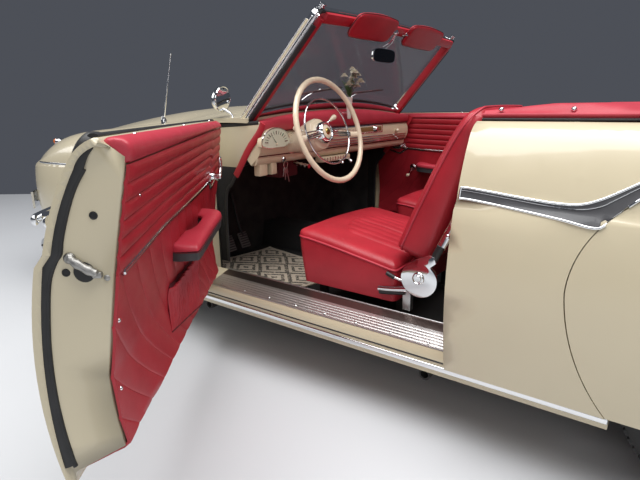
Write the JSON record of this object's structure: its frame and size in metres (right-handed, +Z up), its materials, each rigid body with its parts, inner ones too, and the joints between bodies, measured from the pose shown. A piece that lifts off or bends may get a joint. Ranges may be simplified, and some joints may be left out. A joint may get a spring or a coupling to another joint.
{
  "type": "passenger car",
  "caption": "Two-door four-seat convertible car of the 1950s with its hood folded, on steered front wheels, with doors, bonnet and boot lid that open.",
  "frame": {"origin": "on the ground, midway between the axles and midway between the wheels", "axes": "+X forward, +Y to the car's left, +Z up"},
  "size_m": [4.482, 2.611, 1.3539],
  "materials": {
    "paint": "gloss enamel, ivory",
    "chrome": "polished",
    "leather": "red, fluted and piped",
    "steel": "plain",
    "under": "black underseal",
    "iron": "rough",
    "tyre": "matt black",
    "wheel": "gloss enamel with a polished cap",
    "glass": "clear",
    "lens": "fluted",
    "cover": "red hood cover",
    "ivory": "ivory",
    "floor": "black"
  },
  "bodies": {
    "car_body": {"body_trim": "chrome", "bumpers": "chrome", "bulkheads": "under", "cowl": "paint", "cowl_fittings": "chrome", "cabin_fittings": "chrome", "dash_roll": "leather", "dashboard": "paint", "engine_block": "iron", "exhaust_and_tank": "under", "floor_pan": "floor", "front_fenders": "paint", "front_seats": "leather", "front_suspension": "under", "grille": "chrome", "lamps": "lens", "lift_points": "under", "nose_panel": "paint", "rear_axle": "under", "rear_bench": "leather", "rear_deck": "paint", "rear_quarters": "paint", "rocker_sills": "under", "seat_frames": "steel", "steering_column": "ivory", "tail_panel": "paint", "tonneau_cover": "cover", "wheel_spats": "paint", "windscreen_frame": "chrome", "windscreen_glass": "glass"},
    "door_left": {"door_left_shell": "paint", "door_left_card": "leather", "door_left_trim": "chrome"},
    "door_right": {"door_right_shell": "paint", "door_right_card": "leather", "door_right_trim": "chrome"},
    "bonnet": {"bonnet": "paint"},
    "boot_lid": {"boot_lid": "paint"},
    "steering_wheel": {"steering_wheel": "ivory"},
    "knuckle_left": {"knuckle_left": "iron"},
    "knuckle_right": {"knuckle_right": "iron"},
    "wheel_fl": {"tyre_fl": "tyre", "rim_fl": "wheel"},
    "wheel_fr": {"tyre_fr": "tyre", "rim_fr": "wheel"},
    "wheel_rl": {"tyre_rl": "tyre", "rim_rl": "wheel"},
    "wheel_rr": {"tyre_rr": "tyre", "rim_rr": "wheel"}
  },
  "joints": [
    {"name": "door_left_hinge", "type": "hinge", "parent": "car_body", "child": "door_left", "pos_m": [0.597, 0.842, 0.42], "axis": [0, 0, -1], "range_deg": [-50.7, 14.3]},
    {"name": "door_right_hinge", "type": "hinge", "parent": "car_body", "child": "door_right", "pos_m": [0.597, -0.842, 0.42], "axis": [0, 0, 1], "range_deg": [0, 65]},
    {"name": "bonnet_hinge", "type": "hinge", "parent": "car_body", "child": "bonnet", "pos_m": [0.75, 0, 1.01], "axis": [0, -1, 0], "range_deg": [0, 48]},
    {"name": "boot_hinge", "type": "hinge", "parent": "car_body", "child": "boot_lid", "pos_m": [-1.298, 0, 0.967], "axis": [0, 1, 0], "range_deg": [0, 60]},
    {"name": "steer_left", "type": "hinge", "parent": "car_body", "child": "knuckle_left", "pos_m": [1.3, 0.62, 0.318], "axis": [0, 0, 1], "range_deg": [-30, 30]},
    {"name": "steer_right", "type": "hinge", "parent": "car_body", "child": "knuckle_right", "pos_m": [1.3, -0.62, 0.318], "axis": [0, 0, 1], "range_deg": [-30, 30]},
    {"name": "steering_wheel_turn", "type": "hinge", "parent": "car_body", "child": "steering_wheel", "pos_m": [0.137, 0.423, 0.906], "axis": [-0.9553, 0, 0.2957], "range_deg": [-485, 485]},
    {"name": "wheel_fl_spin", "type": "hinge", "parent": "knuckle_left", "child": "wheel_fl", "pos_m": [1.3, 0.673, 0.318], "axis": [0, 1, 0], "continuous": true},
    {"name": "wheel_fr_spin", "type": "hinge", "parent": "knuckle_right", "child": "wheel_fr", "pos_m": [1.3, -0.673, 0.318], "axis": [0, 1, 0], "continuous": true},
    {"name": "wheel_rl_spin", "type": "hinge", "parent": "car_body", "child": "wheel_rl", "pos_m": [-1.3, 0.685, 0.318], "axis": [0, 1, 0], "continuous": true},
    {"name": "wheel_rr_spin", "type": "hinge", "parent": "car_body", "child": "wheel_rr", "pos_m": [-1.3, -0.685, 0.318], "axis": [0, 1, 0], "continuous": true}
  ],
  "couplings": [
    {"joint": "steer_right", "follows": "steer_left", "ratio": 1},
    {"joint": "steering_wheel_turn", "follows": "steer_left", "ratio": 16}
  ]
}
